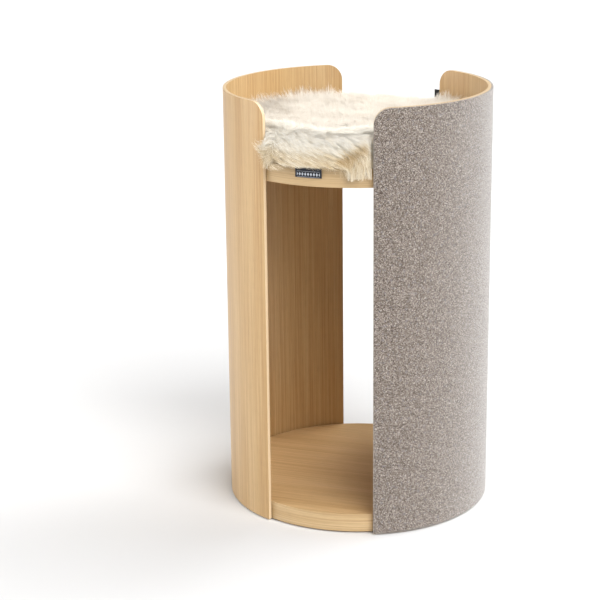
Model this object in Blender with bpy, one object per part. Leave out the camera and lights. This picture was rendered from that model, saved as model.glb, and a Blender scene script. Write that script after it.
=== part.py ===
"""Cat tree: two bent plywood shells round a base board and a shelf board, with a long-pile cushion.

Metres, +Z up. The origin is on the floor, on the axis of the cylinder. The front opening faces -Y,
the bare wood shell stands on the -X side and the fabric-covered shell on the +X side.
Angles are measured round +Z from +X, in degrees.
"""
import math

import bmesh
import bpy
from mathutils import Matrix, Vector

# Driving dimensions
WOOD_RADIUS = 0.240          # outer face of both plywood shells
PLY_THICKNESS = 0.0065
HEIGHT = 0.768
OPENING_HALF_ANGLE = 24.4    # half of the front opening, and of the back opening
CORNER_RADIUS = 0.029        # the top corners of each shell
FABRIC_THICKNESS = 0.0035
GLIDE_HEIGHT = 0.003
BOARD_THICKNESS = 0.033      # base board and shelf board
SHELF_UNDERSIDE = 0.631
BOARD_CLEARANCE = 0.0015     # between a board's edge and the shells
TOUCH_GAP = 0.0003           # left between pieces that touch

# The boards' edge bands
BAND_THICKNESS = 0.001

# Knock-down fittings between the boards and the shells
FITTING_ANGLE = 40.0         # either side of each shell's middle
CAM_FROM_EDGE = 0.026
CAM_RADIUS = 0.0075
CAM_HEIGHT = 0.0129
BOLT_ABOVE_UNDERSIDE = 0.009
BOLT_STEM_RADIUS = 0.0035
BOLT_THREAD_RADIUS = 0.0025
BOLT_HEAD_RADIUS = 0.0032
BOLT_IN_PLY = 0.0052
DOWEL_RADIUS = 0.003
DOWEL_IN_PLY = 0.0044
DOWEL_IN_BOARD = 0.018
HOLE_CLEARANCE = 0.0004      # round a bolt, cam or dowel in its hole

# Glides
GLIDE_RADIUS = 0.014
GLIDE_CIRCLE = 0.190

# The cushion
PILE_TOP = 0.722             # mean top of the pile
COVER_RADIUS = 0.226
FRONT_SPILL = 0.022          # how far the pile leans out of the front opening
SPILL_HALF_ANGLE = 22.0
SPILL_EDGE_ANGLE = 12.0      # over which the spill grows from nothing to its full depth
PANEL_RADIUS = 0.205
PANEL_THICKNESS = 0.004
FOAM_THICKNESS = 0.0303
LABEL_MIDDLE = -93.0
LABEL_WIDTH = 0.048
LABEL_BOTTOM = 0.6465
LABEL_THICKNESS = 0.0012

# The cushion's zip, across its underside
ZIP_LENGTH = 0.270
ZIP_WIDTH = 0.0112
ZIP_Y = 0.060
ZIP_START = -0.120           # the slider's middle when the zip is shut; it opens towards +X

# The flag label in the back edge of the fabric
FLAG_HEIGHT = 0.019
FLAG_WIDTH = 0.018
FLAG_MIDDLE_Z = 0.717
FLAG_THICKNESS = 0.0012

# Worked out from the dimensions above
PLY_INSIDE = WOOD_RADIUS - PLY_THICKNESS
BOARD_RADIUS = PLY_INSIDE - BOARD_CLEARANCE
SHELL_HALF_SPAN = 90.0 - OPENING_HALF_ANGLE
SHELF_TOP = SHELF_UNDERSIDE + BOARD_THICKNESS
CAM_CIRCLE = BOARD_RADIUS - CAM_FROM_EDGE
CUSHION_BOTTOM = SHELF_TOP + TOUCH_GAP

SIDES = {"left": 180.0, "right": 0.0}
BOARDS = {"base": GLIDE_HEIGHT, "shelf": SHELF_UNDERSIDE}

ROUND_SEGMENTS = 64
SMALL_SEGMENTS = 10


def clear_scene():
    for ob in list(bpy.data.objects):
        bpy.data.objects.remove(ob, do_unlink=True)


def principled(name, colour, roughness, metallic=0.0):
    mat = bpy.data.materials.new(name)
    mat.use_nodes = True
    shader = mat.node_tree.nodes["Principled BSDF"]
    shader.inputs["Base Color"].default_value = (*colour, 1.0)
    shader.inputs["Roughness"].default_value = roughness
    shader.inputs["Metallic"].default_value = metallic
    mat.diffuse_color = (*colour, 1.0)
    return mat


def make_object(name, bm, mat, place=None):
    """A smooth-shaded object from a bmesh, which is freed. place is a matrix applied to the mesh."""
    if place is not None:
        bmesh.ops.transform(bm, matrix=place, verts=bm.verts)
    bmesh.ops.recalc_face_normals(bm, faces=bm.faces)
    mesh = bpy.data.meshes.new(name)
    bm.to_mesh(mesh)
    bm.free()
    mesh.shade_smooth()
    mesh.set_sharp_from_angle(angle=math.radians(35))
    ob = bpy.data.objects.new(name, mesh)
    bpy.context.scene.collection.objects.link(ob)
    if mat is not None:
        mesh.materials.append(mat)
    return ob


def on_circle(radius, angle, z):
    a = math.radians(angle)
    return Vector((radius * math.cos(a), radius * math.sin(a), z))


def turned(profile, segments):
    """A bmesh turned about Z from (radius, z) points, each end closed by a pole or by a flat cap."""
    bm = bmesh.new()
    rings = []
    for radius, z in profile:
        if radius == 0:
            rings.append([bm.verts.new((0, 0, z))])
        else:
            turn = 360.0 / segments
            rings.append([bm.verts.new(on_circle(radius, i * turn, z)) for i in range(segments)])
    join_rings(bm, rings)
    return bm


def join_rings(bm, rings):
    """Faces between each ring and the next. A ring of one vertex is a pole, an end ring gets a cap."""
    for low, high in zip(rings, rings[1:]):
        count = max(len(low), len(high))
        for i in range(count):
            j = (i + 1) % count
            corners = [low[i % len(low)], low[j % len(low)], high[j % len(high)], high[i % len(high)]]
            bm.faces.new(list(dict.fromkeys(corners)))
    for end in (rings[0], rings[-1]):
        if len(end) > 1:
            bm.faces.new(end)


def box(size_x, size_y, size_z, middle):
    bm = bmesh.new()
    bmesh.ops.create_cube(bm, size=1.0)
    bmesh.ops.scale(bm, vec=(size_x, size_y, size_z), verts=bm.verts)
    bmesh.ops.translate(bm, vec=middle, verts=bm.verts)
    return bm


def radial(angle, z):
    """Turns a shape built along +Z so that it points outwards at this angle and height."""
    return Matrix.Rotation(math.radians(angle), 4, "Z") @ Matrix.Translation((0, 0, z)) @ Matrix.Rotation(
        math.pi / 2, 4, "Y"
    )


def cutter(name, bm, place=None):
    ob = make_object(name, bm, None, place)
    ob.hide_render = True
    ob.display_type = "WIRE"
    return ob


def cut(target, tool):
    mod = target.modifiers.new(tool.name, "BOOLEAN")
    mod.operation = "DIFFERENCE"
    mod.solver = "EXACT"
    mod.object = tool


def join_with(target, tool):
    cut(target, tool)
    target.modifiers[-1].operation = "UNION"


# The shells and what is glued to them


def arc_columns(radius, half_span, bottom, top, corner):
    """(angle, bottom, top) of each upright line across a bent panel whose top corners are rounded."""
    corner_steps = 7
    middle_steps = 24
    degrees_per_metre = 180.0 / (math.pi * radius)
    corner_angle = corner * degrees_per_metre
    offsets = []
    for i in range(corner_steps + 1):
        turn = math.pi / 2 * i / corner_steps
        inwards = corner * (1 - math.cos(turn)) * degrees_per_metre
        offsets.append((inwards, top - corner * (1 - math.sin(turn))))
    left = [(-half_span + inwards, bottom, z) for inwards, z in offsets]
    right = [(half_span - inwards, bottom, z) for inwards, z in reversed(offsets)]
    reach = half_span - corner_angle
    middle = [(-reach + 2 * reach * i / middle_steps, bottom, top) for i in range(1, middle_steps)]
    return left + middle + right


def bent_panel(name, middle_angle, inside, outside, columns, mat):
    """A closed curved panel between two radii, following the columns round its middle angle."""
    bm = bmesh.new()
    rows = []
    for angle, low, high in columns:
        turn = middle_angle + angle
        corners = [(outside, low), (outside, high), (inside, high), (inside, low)]
        rows.append([bm.verts.new(on_circle(radius, turn, z)) for radius, z in corners])
    join_rings(bm, rows)
    return make_object(name, bm, mat)


def shells(ply):
    columns = arc_columns(WOOD_RADIUS, SHELL_HALF_SPAN, GLIDE_HEIGHT, HEIGHT, CORNER_RADIUS)
    return {
        side: bent_panel(f"{side}_shell", middle, PLY_INSIDE, WOOD_RADIUS, columns, ply)
        for side, middle in SIDES.items()
    }


def shell_fabric(cloth):
    inside = WOOD_RADIUS + TOUCH_GAP
    trim = 0.0008
    half_span = SHELL_HALF_SPAN - math.degrees(trim / WOOD_RADIUS)
    columns = arc_columns(WOOD_RADIUS, half_span, GLIDE_HEIGHT, HEIGHT - trim, CORNER_RADIUS)
    bent_panel("right_shell_fabric", SIDES["right"], inside, inside + FABRIC_THICKNESS, columns, cloth)


def flag_label(dark_cloth):
    """A small folded label that stands out of the fabric's back edge, into the back opening."""
    middle = WOOD_RADIUS + TOUCH_GAP + FABRIC_THICKNESS / 2
    edge_angle = SHELL_HALF_SPAN + math.degrees(TOUCH_GAP / WOOD_RADIUS)
    start = on_circle(middle, edge_angle, FLAG_MIDDLE_Z)
    place = Matrix.Translation(start) @ Matrix.Rotation(math.radians(edge_angle), 4, "Z")
    bm = box(FLAG_THICKNESS, FLAG_WIDTH, FLAG_HEIGHT, (0, FLAG_WIDTH / 2, 0))
    make_object("shell_flag_label", bm, dark_cloth, place)


# The boards


def board(name, underside, wood, band_wood):
    """A round board and the veneer band round its edge, as two solids."""
    top = underside + BOARD_THICKNESS
    core_radius = BOARD_RADIUS - BAND_THICKNESS - TOUCH_GAP
    core = make_object(
        f"{name}_board", turned([(core_radius, underside), (core_radius, top)], ROUND_SEGMENTS), wood
    )
    bm = bmesh.new()
    rings = []
    inside = BOARD_RADIUS - BAND_THICKNESS
    corners = [(BOARD_RADIUS, underside), (BOARD_RADIUS, top), (inside, top), (inside, underside)]
    for radius, z in [*corners, corners[0]]:
        turn = 360.0 / ROUND_SEGMENTS
        rings.append([bm.verts.new(on_circle(radius, i * turn, z)) for i in range(ROUND_SEGMENTS)])
    for low, high in zip(rings, rings[1:]):
        for i in range(ROUND_SEGMENTS):
            j = (i + 1) % ROUND_SEGMENTS
            bm.faces.new([low[i], low[j], high[j], high[i]])
    bmesh.ops.remove_doubles(bm, verts=bm.verts, dist=1e-6)
    band = make_object(f"{name}_edge_band", bm, band_wood)
    return core, band


def glides(felt):
    places = [("middle", 0.0, 0.0)]
    places += [(str(i + 1), GLIDE_CIRCLE, 90.0 * i) for i in range(4)]
    for place, radius, angle in places:
        bm = turned([(GLIDE_RADIUS, 0.0), (GLIDE_RADIUS, GLIDE_HEIGHT - TOUCH_GAP)], 24)
        make_object(f"felt_glide_{place}", bm, felt, Matrix.Translation(on_circle(radius, angle, 0.0)))


# The knock-down fittings


def cam_bolt(name, angle, z, steel):
    """A bolt with its thread in the ply and its head in the cam, turned from its outer end inwards."""
    thread_end = PLY_INSIDE + BOLT_IN_PLY
    shoulder = PLY_INSIDE - 2 * TOUCH_GAP
    neck = CAM_CIRCLE + 0.0022
    head = CAM_CIRCLE - 0.0008
    neck_radius = 0.0019
    profile = [
        (0.0, head - 0.0024),
        (BOLT_HEAD_RADIUS * 0.8, head - 0.0024),
        (BOLT_HEAD_RADIUS, head - 0.0014),
        (BOLT_HEAD_RADIUS, head),
        (neck_radius, head + 0.0008),
        (neck_radius, neck + 0.0030),
        (BOLT_STEM_RADIUS, neck + 0.0046),
        (BOLT_STEM_RADIUS, shoulder),
        (BOLT_THREAD_RADIUS, shoulder),
        (BOLT_THREAD_RADIUS, thread_end - 0.0018),
        (BOLT_THREAD_RADIUS * 0.4, thread_end),
        (0.0, thread_end),
    ]
    make_object(name, turned(profile, SMALL_SEGMENTS), steel, radial(angle, z))


def cam_housing(name, angle, underside, zinc):
    """The turning cam in its pocket, with the bolt's bore in its side and a cross recess below."""
    recess = 0.0005
    chamfer = 0.0006
    low = underside + recess
    high = underside + recess + CAM_HEIGHT
    profile = [
        (CAM_RADIUS - chamfer, low),
        (CAM_RADIUS, low + chamfer),
        (CAM_RADIUS, high),
    ]
    middle = on_circle(CAM_CIRCLE, angle, 0.0)
    cam = make_object(name, turned(profile, 20), zinc, Matrix.Translation(middle))
    bore_start = CAM_CIRCLE - 0.0042
    bore = turned(
        [(BOLT_HEAD_RADIUS + HOLE_CLEARANCE, bore_start), (BOLT_HEAD_RADIUS + HOLE_CLEARANCE, BOARD_RADIUS)],
        SMALL_SEGMENTS,
    )
    cut(cam, cutter(f"{name}_bore", bore, radial(angle, underside + BOLT_ABOVE_UNDERSIDE)))
    slot_length, slot_width, slot_depth = 0.0090, 0.0016, 0.0022
    for i, size in enumerate(((slot_length, slot_width), (slot_width, slot_length))):
        slot = box(*size, 2 * slot_depth, (0, 0, 0))
        turn = Matrix.Rotation(math.radians(angle + 45.0), 4, "Z")
        cut(cam, cutter(f"{name}_slot_{i}", slot, Matrix.Translation(middle + Vector((0, 0, low))) @ turn))


def dowel(name, angle, z, wood):
    start = BOARD_RADIUS - DOWEL_IN_BOARD
    end = PLY_INSIDE + DOWEL_IN_PLY
    chamfer = 0.0008
    profile = [
        (DOWEL_RADIUS - chamfer, start),
        (DOWEL_RADIUS, start + chamfer),
        (DOWEL_RADIUS, end - chamfer),
        (DOWEL_RADIUS - chamfer, end),
    ]
    make_object(name, turned(profile, SMALL_SEGMENTS), wood, radial(angle, z))


def radial_hole(name, radius, start, end, angle, z):
    bm = turned([(radius, start), (radius, end)], SMALL_SEGMENTS)
    return cutter(name, bm, radial(angle, z))


def fittings(side, shell, board_name, core, band, mats):
    """Two cam fittings and one dowel between a shell and a board, with all their holes."""
    underside = BOARDS[board_name]
    middle = SIDES[side]
    for place, offset in (("front", -FITTING_ANGLE), ("back", FITTING_ANGLE)):
        angle = middle + (offset if side == "right" else -offset)
        stem = f"{board_name}_{side}_{place}"
        z = underside + BOLT_ABOVE_UNDERSIDE
        cam_bolt(f"{stem}_cam_bolt", angle, z, mats["steel"])
        cam_housing(f"{stem}_cam", angle, underside, mats["zinc"])
        ply_hole = radial_hole(
            f"{stem}_ply_hole",
            BOLT_THREAD_RADIUS + HOLE_CLEARANCE,
            BOARD_RADIUS,
            PLY_INSIDE + BOLT_IN_PLY + HOLE_CLEARANCE,
            angle,
            z,
        )
        cut(shell, ply_hole)
        stem_hole = radial_hole(
            f"{stem}_stem_hole", BOLT_STEM_RADIUS + HOLE_CLEARANCE, CAM_CIRCLE, WOOD_RADIUS, angle, z
        )
        cut(core, stem_hole)
        cut(band, stem_hole)
        pocket_depth = CAM_HEIGHT + 3 * TOUCH_GAP
        pocket_radius = CAM_RADIUS + HOLE_CLEARANCE
        pocket = turned([(pocket_radius, -pocket_depth), (pocket_radius, pocket_depth)], 20)
        at = on_circle(CAM_CIRCLE, angle, underside)
        cut(core, cutter(f"{stem}_pocket", pocket, Matrix.Translation(at)))
    stem = f"{board_name}_{side}"
    z = underside + BOARD_THICKNESS / 2
    dowel(f"{stem}_dowel", middle, z, mats["dowel"])
    hole_radius = DOWEL_RADIUS + HOLE_CLEARANCE
    ply_end = PLY_INSIDE + DOWEL_IN_PLY + HOLE_CLEARANCE
    board_start = BOARD_RADIUS - DOWEL_IN_BOARD - HOLE_CLEARANCE
    hole = radial_hole(f"{stem}_dowel_hole", hole_radius, board_start, ply_end, middle, z)
    for piece in (shell, core, band):
        cut(piece, hole)


# The cushion


def cover_radius(angle):
    """The cover's outer radius, which leans out of the front opening round -90 degrees."""
    away = abs((angle + 90.0 + 180.0) % 360.0 - 180.0)
    rise = min(1.0, max(0.0, (SPILL_HALF_ANGLE - away) / SPILL_EDGE_ANGLE))
    return COVER_RADIUS + FRONT_SPILL * rise * rise * (3 - 2 * rise)


def cushion_cover(fur):
    """The pile cover as an open-bottomed dome: its outer face is the mean surface of the pile."""
    segments = 48
    crown = PILE_TOP - CUSHION_BOTTOM
    outer = [(0.40, 1.0), (0.70, 0.99), (0.88, 0.92), (0.965, 0.76), (1.0, 0.48), (1.0, 0.16), (0.985, 0.0)]
    cavity_radius = PANEL_RADIUS + 2 * TOUCH_GAP
    cavity_top = CUSHION_BOTTOM + PANEL_THICKNESS + FOAM_THICKNESS + 2 * TOUCH_GAP
    bm = bmesh.new()
    angles = [360.0 * i / segments for i in range(segments)]
    rings = [[bm.verts.new((0, 0, PILE_TOP))]]
    for share, up in outer:
        z = CUSHION_BOTTOM + crown * up
        rings.append([bm.verts.new(on_circle(cover_radius(a) * share, a, z)) for a in angles])
    for z in (CUSHION_BOTTOM, cavity_top):
        rings.append([bm.verts.new(on_circle(cavity_radius, a, z)) for a in angles])
    rings.append([bm.verts.new((0, 0, cavity_top))])
    join_rings(bm, rings)
    make_object("cushion_pile_cover", bm, fur)


def cushion_inside(cloth, foam):
    segments = 48
    top = CUSHION_BOTTOM + PANEL_THICKNESS
    panel = make_object(
        "cushion_base_panel", turned([(PANEL_RADIUS, CUSHION_BOTTOM), (PANEL_RADIUS, top)], segments), cloth
    )
    slot = box(ZIP_LENGTH, ZIP_WIDTH, 4 * PANEL_THICKNESS, (0, ZIP_Y, CUSHION_BOTTOM))
    cut(panel, cutter("zip_slot", slot))
    foam_low = top + TOUCH_GAP
    profile = [(PANEL_RADIUS, foam_low), (PANEL_RADIUS, foam_low + FOAM_THICKNESS)]
    make_object("cushion_foam_core", turned(profile, segments), foam)


def cushion_zip(tape_cloth, zinc):
    """The zip's tape with its row of teeth, and the slider that runs along it below."""
    tape_thickness = 0.0010
    teeth_width = 0.0034
    teeth_depth = 0.0006
    tape_top = CUSHION_BOTTOM + PANEL_THICKNESS
    tape_length = ZIP_LENGTH - 2 * TOUCH_GAP
    tape_middle = (0, ZIP_Y, tape_top - tape_thickness / 2)
    tape = make_object(
        "cushion_zip_tape",
        box(tape_length, ZIP_WIDTH - 2 * TOUCH_GAP, tape_thickness, tape_middle),
        tape_cloth,
    )
    overlap = 0.0002
    teeth_middle = (0, ZIP_Y, tape_top - tape_thickness - (teeth_depth - overlap) / 2)
    teeth_size = (tape_length - 0.012, teeth_width, teeth_depth + overlap)
    join_with(tape, cutter("zip_teeth", box(*teeth_size, teeth_middle)))

    slider_top = tape_top - tape_thickness - TOUCH_GAP
    slider_low = CUSHION_BOTTOM + TOUCH_GAP
    slider_height = slider_top - slider_low
    slider_length, slider_width = 0.0105, 0.0072
    middle = (ZIP_START, ZIP_Y, (slider_top + slider_low) / 2)
    slider = make_object(
        "cushion_zip_slider", box(slider_length, slider_width, slider_height, middle), zinc
    )
    groove_width = teeth_width + 2 * TOUCH_GAP
    groove_size = (2 * slider_length, groove_width, 2 * (teeth_depth + TOUCH_GAP))
    cut(slider, cutter("slider_groove", box(*groove_size, (ZIP_START, ZIP_Y, slider_top))))
    pull_length, pull_width, pull_thickness = 0.018, 0.0040, 0.0008
    pull_middle = (ZIP_START + slider_length / 2 + pull_length / 2 - 0.002, ZIP_Y, slider_low + pull_thickness / 2)
    join_with(slider, cutter("slider_pull", box(pull_length, pull_width, pull_thickness, pull_middle)))


def cushion_label(dark_cloth):
    """A folded ribbon label that hangs from the cover's seam in front of the shelf's edge."""
    inside = BOARD_RADIUS + 0.0017
    half_span = math.degrees(LABEL_WIDTH / 2 / inside)
    steps = 6
    columns = [
        (-half_span + 2 * half_span * i / steps, LABEL_BOTTOM, CUSHION_BOTTOM - TOUCH_GAP)
        for i in range(steps + 1)
    ]
    bent_panel("cushion_label", LABEL_MIDDLE, inside, inside + LABEL_THICKNESS, columns, dark_cloth)


def build():
    clear_scene()
    ply = principled("ash_veneer", (0.72, 0.52, 0.31), 0.45)
    band_wood = principled("ash_edge_band", (0.66, 0.46, 0.26), 0.45)
    cloth = principled("tweed_fabric", (0.30, 0.26, 0.23), 0.95)
    dark_cloth = principled("label_cloth", (0.05, 0.055, 0.07), 0.85)
    felt = principled("glide_felt", (0.20, 0.19, 0.18), 0.95)
    fur = principled("cream_pile", (0.86, 0.80, 0.68), 0.90)
    panel_cloth = principled("panel_cloth", (0.75, 0.71, 0.62), 0.90)
    foam = principled("foam", (0.90, 0.87, 0.74), 0.95)
    mats = {
        "steel": principled("zinc_plated_steel", (0.62, 0.62, 0.62), 0.35, 1.0),
        "zinc": principled("cast_zinc", (0.55, 0.55, 0.56), 0.40, 1.0),
        "dowel": principled("beech_dowel", (0.70, 0.50, 0.30), 0.60),
    }

    both_shells = shells(ply)
    shell_fabric(cloth)
    flag_label(dark_cloth)
    for board_name, underside in BOARDS.items():
        core, band = board(board_name, underside, ply, band_wood)
        for side, shell in both_shells.items():
            fittings(side, shell, board_name, core, band, mats)
    glides(felt)
    cushion_cover(fur)
    cushion_inside(panel_cloth, foam)
    cushion_zip(panel_cloth, mats["zinc"])
    cushion_label(dark_cloth)


build()
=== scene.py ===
"""Looks of the cat tree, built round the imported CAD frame: veneer, tweed, pile cushion, studio."""
import functools
import math

import bmesh
import bpy
import numpy as np
from mathutils import Matrix, Vector, kdtree, noise


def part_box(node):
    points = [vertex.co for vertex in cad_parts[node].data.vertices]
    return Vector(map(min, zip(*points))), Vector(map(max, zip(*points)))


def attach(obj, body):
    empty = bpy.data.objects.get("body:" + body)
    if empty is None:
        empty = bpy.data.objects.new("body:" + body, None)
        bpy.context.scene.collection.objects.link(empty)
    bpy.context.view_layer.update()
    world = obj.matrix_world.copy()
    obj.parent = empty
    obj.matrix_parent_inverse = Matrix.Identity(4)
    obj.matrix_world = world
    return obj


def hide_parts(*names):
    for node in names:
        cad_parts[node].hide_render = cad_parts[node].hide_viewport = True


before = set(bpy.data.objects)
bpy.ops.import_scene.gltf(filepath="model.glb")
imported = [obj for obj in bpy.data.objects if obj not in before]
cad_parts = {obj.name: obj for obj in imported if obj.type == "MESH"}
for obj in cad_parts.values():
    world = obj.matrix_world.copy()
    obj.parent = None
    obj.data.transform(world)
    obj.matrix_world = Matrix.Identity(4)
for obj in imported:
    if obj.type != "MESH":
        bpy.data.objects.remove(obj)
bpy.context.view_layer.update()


# ==== Dimensions read from the frame
shell_low, shell_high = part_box("left_shell")
fabric_low, fabric_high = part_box("right_shell_fabric")
cover_low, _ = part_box("cushion_pile_cover")
panel_low, panel_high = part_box("cushion_base_panel")
_, foam_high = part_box("cushion_foam_core")
label_low, label_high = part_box("cushion_label")
flag_low, flag_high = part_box("shell_flag_label")
base_low, base_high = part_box("base_edge_band")
shelf_low, shelf_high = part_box("shelf_edge_band")

WOOD_RADIUS = -shell_low.x  # the plywood's outer face
HALF_SPAN = math.degrees(math.asin(shell_high.y / WOOD_RADIUS))
PLY_INSIDE = -shell_high.x / math.cos(math.radians(HALF_SPAN))
PLY_THICKNESS = WOOD_RADIUS - PLY_INSIDE
FABRIC_INSIDE = WOOD_RADIUS + 0.0001
FABRIC_OUTSIDE = fabric_high.x
BOARD_RADIUS = base_high.x
CORNER_RADIUS = 0.029  # the rounded top corners of the shells
SIDE_ANGLE = {"left": 180.0, "right": 0.0}
FRONT, BACK = -90.0, 90.0
ROUND_SEGMENTS = 192  # sides of the round boards and their edge bands
SHARP_FOLD = 35.0  # folds past this many degrees stay crisp


# ==== Mesh helpers
def on_circle(radius, angle, z):
    """The point at an angle round Z, in degrees from +X."""
    a = math.radians(angle)
    return Vector((radius * math.cos(a), radius * math.sin(a), z))


def piece_from(name, bm, sharp=SHARP_FOLD):
    """A smooth-shaded object from a bmesh, with its normals outwards."""
    bmesh.ops.recalc_face_normals(bm, faces=bm.faces)
    mesh = bpy.data.meshes.new(name)
    bm.to_mesh(mesh)
    bm.free()
    mesh.shade_smooth()
    mesh.set_sharp_from_angle(angle=math.radians(sharp))
    return show(name, mesh)


def show(name, data):
    """A new object in the scene, from a mesh, light or camera."""
    ob = bpy.data.objects.new(name, data)
    bpy.context.scene.collection.objects.link(ob)
    return ob


def join_rings(bm, rings, caps=True):
    """Faces between each ring of vertices and the next. A ring of one vertex is a pole."""
    for low, high in zip(rings, rings[1:]):
        count = max(len(low), len(high))
        for i in range(count):
            j = (i + 1) % count
            corners = [low[i % len(low)], low[j % len(low)], high[j % len(high)], high[i % len(high)]]
            bm.faces.new(list(dict.fromkeys(corners)))
    if caps:
        for end in (rings[0], rings[-1]):
            if len(end) > 1:
                bm.faces.new(end)


def modified_mesh(ob):
    """A new mesh of the object as its modifiers make it."""
    dependencies = bpy.context.evaluated_depsgraph_get()
    return bpy.data.meshes.new_from_object(ob.evaluated_get(dependencies))


def points_of(mesh):
    """The mesh's points as an array of xyz rows."""
    co = np.empty(len(mesh.vertices) * 3, np.float32)
    mesh.vertices.foreach_get("co", co)
    return co.reshape(-1, 3).astype(float)


def set_points(mesh, points):
    mesh.vertices.foreach_set("co", points.astype(np.float32).ravel())
    mesh.update()


def set_grain(ob, vectors):
    """Stores where each point lies in its material: (across, along, depth), in metres."""
    layer = ob.data.attributes.new("grain", "FLOAT_VECTOR", "POINT")
    layer.data.foreach_set("vector", vectors.astype(np.float32).ravel())


def grain_round_axis(ob, middle_angle, grain_upright=True):
    """Grain coordinates on a curved piece, from the arc length, the height and the radius."""
    p = points_of(ob.data)
    a = math.radians(middle_angle)
    x = p[:, 0] * math.cos(a) + p[:, 1] * math.sin(a)
    y = -p[:, 0] * math.sin(a) + p[:, 1] * math.cos(a)
    arc = np.arctan2(y, x) * WOOD_RADIUS
    radius = np.hypot(x, y)
    columns = (arc, p[:, 2], radius) if grain_upright else (p[:, 2], arc, radius)
    set_grain(ob, np.stack(columns, 1))


# ==== Shader helpers
class Shader:
    """A Principled material with short calls for the nodes this file uses."""

    def __init__(self, name, colour, roughness, **sockets):
        self.mat = bpy.data.materials.new(name)
        self.mat.use_nodes = True
        self.tree = self.mat.node_tree
        self.bsdf = self.tree.nodes["Principled BSDF"]
        self.mat.diffuse_color = (*colour, 1.0)
        self.feed("Base Color", colour)
        self.feed("Roughness", roughness)
        for key, value in sockets.items():
            self.feed(key.replace("_", " "), value)

    def put(self, socket, value):
        """Sets an input to a number or a colour, or links it to another node's output."""
        if isinstance(value, bpy.types.NodeSocket):
            self.tree.links.new(value, socket)
        else:
            socket.default_value = (*value, 1.0) if isinstance(value, tuple) else value

    def feed(self, socket, value):
        """Sets or links one of the Principled node's inputs."""
        self.put(self.bsdf.inputs[socket], value)

    def node(self, kind, **inputs):
        n = self.tree.nodes.new(kind)
        for key, value in inputs.items():
            self.put(n.inputs[key.replace("_", " ")], value)
        return n

    def grain(self, across, along, depth):
        """The piece's grain coordinates, scaled by so many features a metre along each."""
        attribute = self.node("ShaderNodeAttribute")
        attribute.attribute_name = "grain"
        scale = self.node("ShaderNodeVectorMath")
        scale.operation = "MULTIPLY"
        self.put(scale.inputs[0], attribute.outputs["Vector"])
        scale.inputs[1].default_value = (across, along, depth)
        return scale.outputs["Vector"]

    def noise(self, vector, detail, roughness=0.5, distortion=0.0, scale=1.0):
        n = self.node("ShaderNodeTexNoise", Vector=vector, Scale=scale, Detail=detail)
        self.put(n.inputs["Roughness"], roughness)
        self.put(n.inputs["Distortion"], distortion)
        return n.outputs["Fac"]

    def cells(self, vector):
        """A random colour for each cell of a Voronoi pattern."""
        return self.node("ShaderNodeTexVoronoi", Vector=vector, Scale=1.0).outputs["Color"]

    def ramp(self, value, low, high, out_low=0.0, out_high=1.0):
        """Goes smoothly from out_low to out_high as value goes from low to high."""
        n = self.node("ShaderNodeMapRange", Value=value, From_Min=low, From_Max=high)
        self.put(n.inputs["To Min"], out_low)
        self.put(n.inputs["To Max"], out_high)
        n.interpolation_type = "SMOOTHSTEP"
        return n.outputs["Result"]

    def colours(self, value, stops):
        """A colour ramp through (place, (r, g, b)) stops."""
        n = self.node("ShaderNodeValToRGB", Fac=value)
        ramp = n.color_ramp
        while len(ramp.elements) < len(stops):
            ramp.elements.new(0.5)
        for element, (place, colour) in zip(ramp.elements, stops):
            element.position = place
            element.color = (*colour, 1.0)
        return n.outputs["Color"]

    def mix(self, factor, a, b, blend="MIX"):
        n = self.node("ShaderNodeMix")
        n.data_type = "RGBA"
        n.blend_type = blend
        for number, value in ((0, factor), (6, a), (7, b)):
            self.put(n.inputs[number], value)
        return n.outputs[2]

    def maths(self, operation, a, b=0.0):
        n = self.node("ShaderNodeMath")
        n.operation = operation
        self.put(n.inputs[0], a)
        self.put(n.inputs[1], b)
        return n.outputs["Value"]

    def total(self, *terms):
        """The sum of values, from (value, share) pairs."""
        shares = [self.maths("MULTIPLY", value, share) for value, share in terms]
        return functools.reduce(lambda a, b: self.maths("ADD", a, b), shares)

    def part(self, vector, axis):
        return self.node("ShaderNodeSeparateXYZ", Vector=vector).outputs[axis]

    def bump(self, height, distance, strength):
        n = self.node("ShaderNodeBump", Height=height, Distance=distance, Strength=strength)
        self.feed("Normal", n.outputs["Normal"])


def linear(r, g, b):
    """Linear colour from 8-bit display values."""
    return tuple((c / 255) ** 2.2 for c in (r, g, b))


# ==== Materials
PLY_WAVES = 5  # pale plies through a shell's thickness, each with a darker one


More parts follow.
